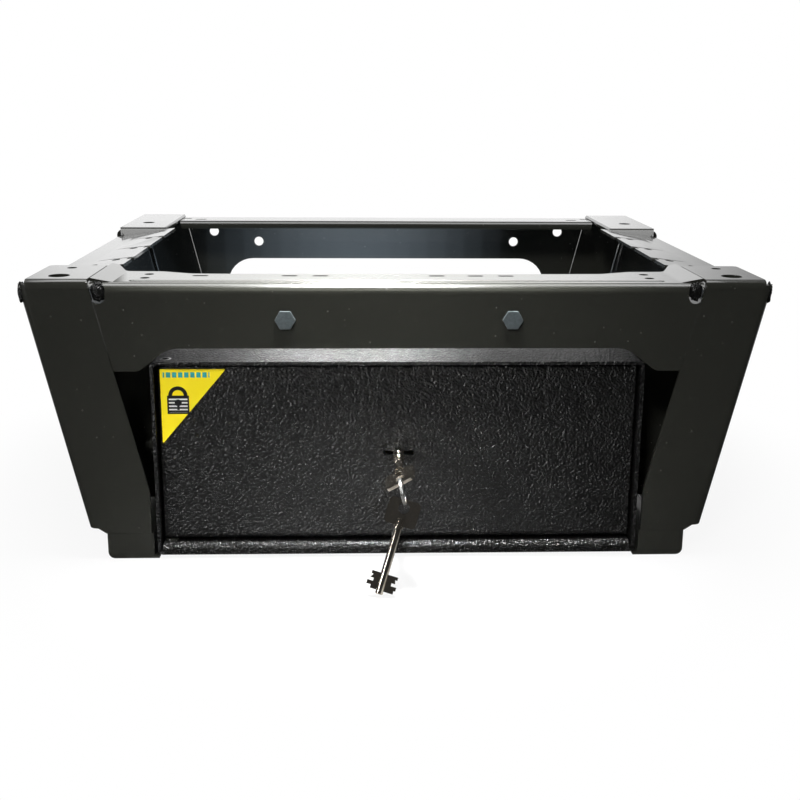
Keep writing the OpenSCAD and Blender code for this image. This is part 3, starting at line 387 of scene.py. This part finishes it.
# %% Smooth by angle
def make_smooth_by_angle(limit):
    """A geometry node group that shades a mesh smooth, but keeps edges sharper than limit crisp."""
    group = bpy.data.node_groups.new("smooth_by_angle", "GeometryNodeTree")
    group.interface.new_socket("Geometry", in_out="INPUT", socket_type="NodeSocketGeometry")
    group.interface.new_socket("Geometry", in_out="OUTPUT", socket_type="NodeSocketGeometry")
    entry, leave = group.nodes.new("NodeGroupInput"), group.nodes.new("NodeGroupOutput")
    faces = put(group, "GeometryNodeSetShadeSmooth",
                {"Geometry": entry.outputs[0], "Shade Smooth": True}, domain="FACE")
    angle = put(group, "GeometryNodeInputMeshEdgeAngle")
    flat = put(group, "FunctionNodeCompare", {"A": angle.outputs["Unsigned Angle"], "B": limit},
               data_type="FLOAT", operation="LESS_EQUAL")
    edges = put(group, "GeometryNodeSetShadeSmooth",
                {"Geometry": faces.outputs[0], "Shade Smooth": flat.outputs["Result"]}, domain="EDGE")
    group.links.new(edges.outputs[0], leave.inputs[0])
    return group


smooth_by_angle = make_smooth_by_angle(math.radians(32))
print("geometry nodes:", smooth_by_angle.name)

# %% [markdown]
# ## Rounded edges on the solids
# A CAD node arrives as loose triangles with knife edges, and no real sheet has those: its
# edges catch a thin line of light. The mesh itself stays as it is, and modifiers do the
# work. Weld joins the triangles, Decimate takes out the lines across flat faces, Bevel
# rounds what is sharper than a fold, and weighted normals keep the flat faces flat.

# %% Edge rounding
def dress(names, material, edge):
    """Gives CAD nodes their finish and rounds their edges by edge metres."""
    for name in names:
        node = nodes[name]
        for slot in node.material_slots:
            slot.material = material
        weld = node.modifiers.new("weld", "WELD")
        weld.merge_threshold = 0.01 * mm
        flat = node.modifiers.new("flat_faces", "DECIMATE")
        flat.decimate_type = "DISSOLVE"
        flat.angle_limit = math.radians(0.4)
        bevel = node.modifiers.new("edges", "BEVEL")
        bevel.width = edge
        bevel.segments = 2
        bevel.limit_method = "ANGLE"
        bevel.angle_limit = math.radians(40)
        bevel.use_clamp_overlap = True
        smooth = node.modifiers.new("smooth", "NODES")
        smooth.node_group = smooth_by_angle
        weigh = node.modifiers.new("weigh", "WEIGHTED_NORMAL")
        weigh.keep_sharp = True


sheet_pieces = ["side_member_left", "side_member_right", "front_beam", "rear_beam", "floor_rail_left",
                "floor_rail_right", "front_pads", "rear_pads", "side_brackets"]
zinc_pieces = ["hinge_blocks", "beam_nuts", "lock_case", "lever_post", "lock_screws", "guide_studs",
               "bolt_guide", "cover_screws", "lock_bolt", "bolt_bar", "locking_bolts", "bolt_screws",
               "key_ring"]
dress(sheet_pieces, console_paint, 0.4 * mm)
dress(["side_bolts", "side_nuts"], console_paint, 0.3 * mm)
dress(["hinge_bushes", "hinge_pins"], console_paint, 0.2 * mm)
dress(["safe_body", "safe_back", "front_frame", "lock_cover"], safe_coat, 0.35 * mm)
dress(["door_plate"], door_coat, 0.35 * mm)
# The beam's bolt heads get the grey with the painted reflection.
dress(["beam_bolts"], painted_reflection_grey, 0.3 * mm)
dress(zinc_pieces, zinc, 0.2 * mm)
dress(["lock_levers"], brass, 0.1 * mm)
dress(["lock_key", "spare_key"], nickel, 0.35 * mm)
print("dressed", sum(len(node.modifiers) > 0 for node in nodes.values()), "nodes")

# %% [markdown]
# ## From points to a piece
# The next steps add what the solids leave out. Each is a surface worked out with numpy: an
# array of points, and an array of faces that names points by number. Many surfaces are a
# grid closed into a ring, so one helper numbers its faces, and another makes the object.

# %% Grid faces and new pieces
def ring_faces(rows, columns, close_rows=False):
    """Quads between the rows of a grid whose columns close into a ring: (row, column), the
    same in the next row, both one column on. With close_rows the last row meets the first."""
    row = np.arange(rows if close_rows else rows - 1)[:, None]
    column = np.arange(columns)[None, :]
    here, below = row * columns, (row + 1) % rows * columns
    beside = (column + 1) % columns
    return np.stack([here + column, below + column, below + beside, here + beside], -1).reshape(-1, 4)


def new_piece(name, points, faces, material, smooth):
    """An object at the origin whose mesh has these points and faces."""
    mesh = bpy.data.meshes.new(name)
    mesh.from_pydata(points.tolist(), [], faces)
    if smooth:
        mesh.shade_smooth()
    mesh.materials.append(material)
    piece = bpy.data.objects.new(name, mesh)
    scene.collection.objects.link(piece)
    print(name, len(points), "points", len(faces), "faces")
    return piece

# %% [markdown]
# ## The print of the sign
# A three-cornered sign sticks to the upper left corner of the door. Its print could be an
# image, but a pattern worked out from Object coordinates stays sharp at any distance: a
# row of blue-green dashes, and a striped padlock on yellow. Each form is a mask made of
# distances and limits, in millimetres from the sign's upper left corner.

# %% Print of the sign
label_low, label_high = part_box("label")
corner = Vector((label_low.x, label_low.y, label_high.z))


def make_sign_print():
    """Printed film over the door's crinkle: colours laid over each other by masks."""
    material, tree, shader = start_material("sign_print", **{
        "Specular IOR Level": 0.5, "Coat Weight": 0.3, "Coat Roughness": 0.1, "Roughness": 0.35})
    place = put(tree, "ShaderNodeMapping",
                {"Vector": coordinates(tree), "Location": (-corner.x, 0, -corner.z)})
    axes = put(tree, "ShaderNodeSeparateXYZ", {"Vector": place.outputs[0]})
    x, z = axes.outputs["X"], axes.outputs["Z"]

    def inside(value, low, high):
        above = maths(tree, "GREATER_THAN", value, low * mm)
        return times(tree, above, maths(tree, "LESS_THAN", value, high * mm))

    def disc(middle_x, middle_z, radius):
        dx = maths(tree, "SUBTRACT", x, middle_x * mm)
        dz = maths(tree, "SUBTRACT", z, middle_z * mm)
        return maths(tree, "LESS_THAN", distance(tree, dx, dz), radius * mm)

    def panel(x0, x1, z0, z1):
        return times(tree, inside(x, x0, x1), inside(z, z0, z1))

    def repeated(value, pitch, share):
        turn = maths(tree, "FRACT", maths(tree, "MULTIPLY", value, 1 / (pitch * mm)))
        return maths(tree, "LESS_THAN", turn, share)

    middle, top, foot, half, rim = 12.5, -20, -34, 8, 1.2
    hole_z, hole_foot, hole_half = -25.5, -31, 0.9
    dashes = times(tree, panel(2, 36, -6.4, -2.4), repeated(x, 4.4, 0.72))
    body = panel(middle - half, middle + half, foot, top)
    plate = panel(middle - half + rim, middle + half - rim, foot + rim, top - rim)
    stripes = times(tree, plate, repeated(z, 2.6, 0.42))
    slit = panel(middle - hole_half, middle + hole_half, hole_foot, hole_z)

    yellow, old_yellow, teal = (1.0, 0.80, 0.0), (0.80, 0.62, 0.08), (0.02, 0.30, 0.30)
    black, white = (0.010, 0.010, 0.012), (0.86, 0.86, 0.84)
    fade = put(tree, "ShaderNodeTexNoise", {"Vector": coordinates(tree), "Scale": 90.0, "Detail": 3.0})
    colour = mix(tree, maths(tree, "MULTIPLY", fade.outputs["Fac"], 0.12), yellow, old_yellow)
    for mask, ink in ((dashes, teal), (disc(middle, top, 7), black), (disc(middle, top, 4.2), yellow),
                      (body, black), (stripes, white), (disc(middle, hole_z, 2.6), black), (slit, black)):
        colour = mix(tree, mask, colour, ink)
    tree.links.new(colour, shader.inputs["Base Color"])
    grain = effect(tree, crinkle, Cells=620.0, Bend=0.0018)
    bump(tree, shader, grain.outputs["Height"], 0.12 * mm, 0.5)
    return material


sign_print = make_sign_print()
print("finish:", sign_print.name, "corner at", [round(v / mm, 1) for v in corner])

# %% [markdown]
# ## The sign
# The sign is a thin film. A flat triangle would have no edge to catch the light, so the
# piece is a slim slab whose three corners are rounded, as a stamped film's are. Its
# corners are those of the CAD label that it stands for.

# %% Sign
def round_corner_outline(points, radius, steps=6):
    """Walks round a polygon and replaces each corner by an arc. The arc's middle is the
    corner plus the bisector times radius over the sine of half the angle, and the arc
    ends where the sides are radius over the tangent of half the angle away."""
    points = np.asarray(points, float)
    made = []
    for before, here, after in zip(np.roll(points, 1, 0), points, np.roll(points, -1, 0)):
        a = (before - here) / np.linalg.norm(before - here)
        b = (after - here) / np.linalg.norm(after - here)
        half = math.acos(np.clip(a @ b, -1, 1)) / 2
        middle = here + (a + b) / np.linalg.norm(a + b) * radius / math.sin(half)
        start = here + a * radius / math.tan(half) - middle
        end = here + b * radius / math.tan(half) - middle
        t = np.linspace(0, 1, steps)[:, None]
        chord = start * (1 - t) + end * t
        made.append(middle + chord / np.linalg.norm(chord, axis=1)[:, None] * radius)
    return np.concatenate(made)


def slab(outline, y_front, y_back):
    """Points and faces of a closed slab: the outline in X and Z, carried from y_front to y_back."""
    n = len(outline)
    front = np.column_stack([outline[:, 0], np.full(n, y_front), outline[:, 1]])
    back = front + (0, y_back - y_front, 0)
    around = np.arange(n)
    sides = np.column_stack([around, around + n, np.roll(around, -1) + n, np.roll(around, -1)])
    return np.concatenate([front, back]), [around.tolist(), (around[::-1] + n).tolist()] + sides.tolist()


set_back = 0.05 * mm
sign_corners = [(label_low.x, label_high.z), (label_low.x, label_low.z), (label_high.x, label_high.z)]
sign_outline = round_corner_outline(sign_corners, 0.6 * mm)
sign_points, sign_faces = slab(sign_outline, label_low.y + set_back, label_high.y)
sign = new_piece("door_sign", sign_points, sign_faces, sign_print, smooth=False)
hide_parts("label")
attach(sign, "door")

# %% [markdown]
# ## Weld lumps
# Under the ends of the beam's flange and at the outer corners the sheets are joined by
# rough weld, which the paint turns into black lumps. A bead of many small drops would be
# nearer to how weld is laid, but at this size one ball, pulled long and dented by slow
# waves, looks the same. A seed keeps each lump's dents the same in every run, and its
# place is counted in millimetres from the end, front and top of the sheets it joins.

# %% Welds
def lump(name, middle, reach, seed, rows=28, columns=40):
    """A closed dented ball, its reach in millimetres: middle + reach * direction * (1 + three
    waves of the direction), each wave a sine of a random mix of the direction's three parts."""
    rng = np.random.default_rng(seed)
    lat, lon = np.meshgrid(np.linspace(0, math.pi, rows)[1:-1],
                           np.linspace(0, 2 * math.pi, columns, endpoint=False), indexing="ij")
    belt = np.stack([np.sin(lat) * np.cos(lon), np.sin(lat) * np.sin(lon), np.cos(lat)], -1)
    ball = np.concatenate([belt.reshape(-1, 3), [(0, 0, 1), (0, 0, -1)]])
    swell = 1 + sum(size * np.sin(ball @ rng.normal(0, wave, 3) + rng.uniform(0, 6))
                    for size, wave in ((0.10, 2.5), (0.07, 5.0), (0.05, 9.0)))
    points = np.array(middle) + ball * np.array(reach) * mm * swell[:, None]
    top, bottom, last_row = len(ball) - 2, len(ball) - 1, (rows - 3) * columns
    here = np.arange(columns)
    beside = np.roll(here, -1)
    cap = np.column_stack([np.full(columns, top), here, beside])
    foot = np.column_stack([np.full(columns, bottom), last_row + beside, last_row + here])
    faces = ring_faces(rows - 2, columns).tolist() + cap.tolist() + foot.tolist()
    return new_piece(name, points, faces, safe_coat, smooth=True)


beam_low, beam_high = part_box("front_beam")
wall_low, wall_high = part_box("side_member_right")
relief_weld = {"end": beam_high.x, "in": 6.5, "behind": 4.5, "below": 7.7,
               "reach": (5.0, 2.5, 6.9), "seed": 3}
corner_weld = {"end": wall_high.x, "in": 3.08, "behind": 3.6, "below": 8.4,
               "reach": (2.3, 2.6, 7.2), "seed": 8}
for side, word in ((-1, "left"), (1, "right")):
    for kind, weld in (("relief_weld_", relief_weld), ("corner_weld_", corner_weld)):
        place = (side * (weld["end"] - weld["in"] * mm),
                 beam_low.y + weld["behind"] * mm,
                 wall_high.z - weld["below"] * mm)
        piece = lump(kind + word, place, weld["reach"], weld["seed"] + side)
        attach(piece, "console")

# %% [markdown]
# ## The shoulder of the key
# Between the door and its bow the key thickens to a turned shoulder, which catches most of
# the light in the picture. What a lathe makes is best drawn as a lathe makes it: a profile
# of beads and a groove, turned once about the axis on which the key turns in its lock.

# %% Key shoulder
def revolved(profile, start, axis, steps=40):
    """Points and faces of a closed surface of revolution. Each profile point (along, radius)
    turns once: start + axis * along + radius * (side * cos a + other * sin a)."""
    side = Vector(axis).normalized().orthogonal().normalized()
    other = Vector(axis).normalized().cross(side)
    angles = np.linspace(0, 2 * math.pi, steps, endpoint=False)
    ring = np.outer(np.cos(angles), side) + np.outer(np.sin(angles), other)
    along, radius = np.array(profile).T[:, :, None, None]
    points = np.array(start) + np.array(Vector(axis).normalized()) * along + ring * radius
    inward = ring_faces(len(profile), steps, close_rows=True)
    outward = inward[:, [0, 3, 2, 1]]
    return points.reshape(-1, 3), outward.tolist()


back_rim = [(1.6, 2.6), (1.6, 3.6), (2.0, 4.1), (4.2, 4.2), (4.9, 3.8)]
groove = [(5.2, 3.3), (6.2, 3.3)]
collar = [(6.6, 3.9), (7.4, 4.2), (11.0, 4.2), (11.6, 3.9), (12.0, 3.4)]
neck = [(12.6, 3.2), (16.5, 3.0), (17.0, 2.6)]
shoulder_profile = np.array(back_rim + groove + collar + neck) * mm
key_turn = joints["key_turn"]
shoulder_points, shoulder_faces = revolved(shoulder_profile, key_turn["pos_m"], key_turn["axis"])
shoulder = new_piece("key_shoulder", shoulder_points, shoulder_faces, nickel, smooth=True)
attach(shoulder, "lock_key")

# %% [markdown]
# ## Who sees white
# The picture has a white background, but black gloss paint mirrors what stands around it,
# and an evenly white room would turn it grey. More light can't help there. Light Path
# tells the rays apart: the camera, and what it sees through clear things, meets white,
# while reflections and soft light meet the values that the next steps give.

# %% Who sees white
def seen_directly(tree, path):
    """1 for a ray from the camera or one that has passed through something clear, else 0."""
    return maths(tree, "MAXIMUM", path.outputs["Is Camera Ray"], path.outputs["Is Transmission Ray"])

# %% [markdown]
# ## Floor
# The floor is a white table that keeps the object's shadow: close to the object the camera
# sees a tenth of the shaded surface mixed into the white. A table that is white to every
# ray would light the black paint from below, so the light of the lamps meets plain grey.
# Reflections meet a painted sheen, a glow without a lamp that is dark in front and bright
# behind, with a painted pool of light at the foot of the door, which gives the lower half of
# the door its soft shine.

# %% Floor
def make_floor_material():
    """Grey to soft light, a painted sheen that changes with the place to reflections, white to the
    camera.
    """
    material = bpy.data.materials.new("studio_floor")
    material.use_nodes = True
    tree = material.node_tree
    tree.nodes.clear()
    axes = put(tree, "ShaderNodeSeparateXYZ", {"Vector": coordinates(tree)})
    x, y = axes.outputs["X"], axes.outputs["Y"]
    path = put(tree, "ShaderNodeLightPath")

    # Painted pool of light at the foot of the door and painted sheen behind, shown only in reflections.
    pool_x = flip(tree, ramp(tree, off_middle(tree, x, -0.02), 0.0, 0.22))
    pool_y = maths(tree, "SUBTRACT", ramp(tree, y, -0.60, -0.26), ramp(tree, y, -0.250, -0.236))
    behind = put(tree, "ShaderNodeMapRange",
                 {"Value": ramp(tree, y, -0.2, 0.6), "To Min": 0.025, "To Max": 0.9})
    sheen_level = maths(tree, "MULTIPLY_ADD", times(tree, pool_x, pool_y), 0.6, behind.outputs["Result"])

    plain = put(tree, "ShaderNodeBsdfDiffuse", {"Color": (0.35, 0.35, 0.35, 1)})
    sheen = put(tree, "ShaderNodeEmission", {"Color": (1, 1, 1, 1), "Strength": sheen_level})
    white = put(tree, "ShaderNodeEmission", {"Color": (1, 1, 1, 1), "Strength": 1.0})
    lit = put(tree, "ShaderNodeMixShader",
              {0: path.outputs["Is Glossy Ray"], 1: plain.outputs[0], 2: sheen.outputs[0]})
    clear = ramp(tree, distance(tree, x, y), 0.25, 0.45)
    white_share = times(tree, seen_directly(tree, path), maths(tree, "MULTIPLY_ADD", clear, 0.10, 0.90))
    both = put(tree, "ShaderNodeMixShader", {0: white_share, 1: lit.outputs[0], 2: white.outputs[0]})
    put(tree, "ShaderNodeOutputMaterial", {"Surface": both.outputs[0]})
    return material


floor_reach = 6
floor_mesh = bpy.data.meshes.new("floor")
floor_mesh.from_pydata([(-floor_reach, -floor_reach, 0), (floor_reach, -floor_reach, 0),
                        (floor_reach, floor_reach, 0), (-floor_reach, floor_reach, 0)],
                       [], [(0, 1, 2, 3)])
floor = bpy.data.objects.new("floor", floor_mesh)
floor.location.z = -0.5 * mm
floor_mesh.materials.append(make_floor_material())
scene.collection.objects.link(floor)
print("floor:", 2 * floor_reach, "m across")

# %% [markdown]
# ## World
# A photographer would stand a low white screen behind the object and leave the room in
# front of it dark. The world does the same with the direction of a ray: weak in front,
# brighter behind, and brightest in a low patch in the middle of the back, which the
# glossy flanges and folds mirror as a light that fades towards both ends.

# %% World
def make_world():
    """Level of a direction: 0.03 in front, 0.27 more behind, 0.85 more in the low middle patch."""
    world = bpy.data.worlds.new("studio")
    world.use_nodes = True
    tree = world.node_tree
    tree.nodes.clear()
    direction = put(tree, "ShaderNodeTexCoord").outputs["Generated"]
    axes = put(tree, "ShaderNodeSeparateXYZ", {"Vector": direction})
    east, north, height = axes.outputs["X"], axes.outputs["Y"], axes.outputs["Z"]
    middle = flip(tree, ramp(tree, off_middle(tree, east, -0.02), 0.20, 0.42))
    low = flip(tree, ramp(tree, height, 0.22, 0.55))
    back = ramp(tree, north, 0.0, 0.5)
    room_level = maths(tree, "MULTIPLY_ADD", back, 0.27, 0.03)
    level = maths(tree, "MULTIPLY_ADD", times(tree, middle, low, back), 0.85, room_level)
    path = put(tree, "ShaderNodeLightPath")
    shown = put(tree, "ShaderNodeMix", {0: seen_directly(tree, path), 2: level, 3: 1.0})
    room = put(tree, "ShaderNodeBackground", {"Color": (1, 1, 1, 1), "Strength": shown.outputs[0]})
    put(tree, "ShaderNodeOutputWorld", {"Surface": room.outputs[0]})
    return world


scene.world = make_world()
print("world:", scene.world.name)

# %% [markdown]
# ## Lamps
# Each lamp is a rectangle that faces a point. The wide one above gives soft light, and the
# narrow ones above and behind draw the bright middle of the flanges. The lamp in front
# shows colours, so it is hidden from reflections, in which it would be a grey patch. The
# low one on the left is the other way round: only the polished keys and the glints in the
# door's grain show it.

# %% Lamps
def lamp(name, place, target, size, power, colour=(1, 1, 1), spread=180, glossy=True, diffuse=True):
    """A rectangular area lamp at place that faces target, in metres, watts and degrees of spread."""
    data = bpy.data.lights.new(name, "AREA")
    data.shape = "RECTANGLE"
    data.size, data.size_y = size
    data.energy = power
    data.color = colour
    data.spread = math.radians(spread)
    thing = bpy.data.objects.new(name, data)
    thing.visible_camera = False
    thing.visible_glossy = glossy
    thing.visible_diffuse = diffuse
    thing.location = place
    thing.rotation_euler = (Vector(target) - Vector(place)).to_track_quat("-Z", "Y").to_euler()
    scene.collection.objects.link(thing)


lamp("ceiling_lamp", (0, 0.05, 1.3), (0, 0.05, 0), (1.2, 0.8), 10)
lamp("middle_lamp", (-0.02, -0.22, 0.80), (-0.02, -0.22, 0), (0.07, 0.20), 3.2, spread=40)
lamp("back_lamp", (-0.035, 0.62, 0.95), (-0.035, -0.2, 0.15), (0.04, 0.20), 0.22, spread=10)
lamp("front_lamp", (-0.7, -2.0, 2.0), (0, -0.2, 0.1), (0.5, 0.5), 48, glossy=False)
lamp("key_lamp", (-0.9, -0.9, 0.25), (0, -0.25, 0.08), (0.12, 0.5), 0.5, spread=40, diffuse=False)
print("lamps:", len(bpy.data.lights))

# %% [markdown]
# ## Glow inside the console
# The paint inside the rear wall shows a blue-white glow that fades evenly to both sides,
# and one wide lamp would show hard ends there. So eight lamps stand behind one another,
# each wider than the last, and each as bright as its share of a bell curve: the curve's
# slope at the lamp's half width, times the step to the next. Together they add up to it.

# %% Inner glow
glow_middle = Vector((-0.038, 0.003, 0.145))
glow_step, glow_spread, glow_height = 24 * mm, 107 * mm, 80 * mm
glow_power = 0.95
glow_colour = (0.70, 0.86, 1.0)
for step in range(1, 9):
    half = glow_step * step
    slope = math.exp(-(half / glow_spread) ** 2 / 2) * half / glow_spread ** 2
    place = glow_middle + Vector((0, step * mm, 0))
    lamp("inner_glow", place, (place.x, 1, place.z), (2 * half, glow_height),
         glow_power * half * slope * glow_step, glow_colour)
print("glow reaches", round(half / mm), "mm to each side")
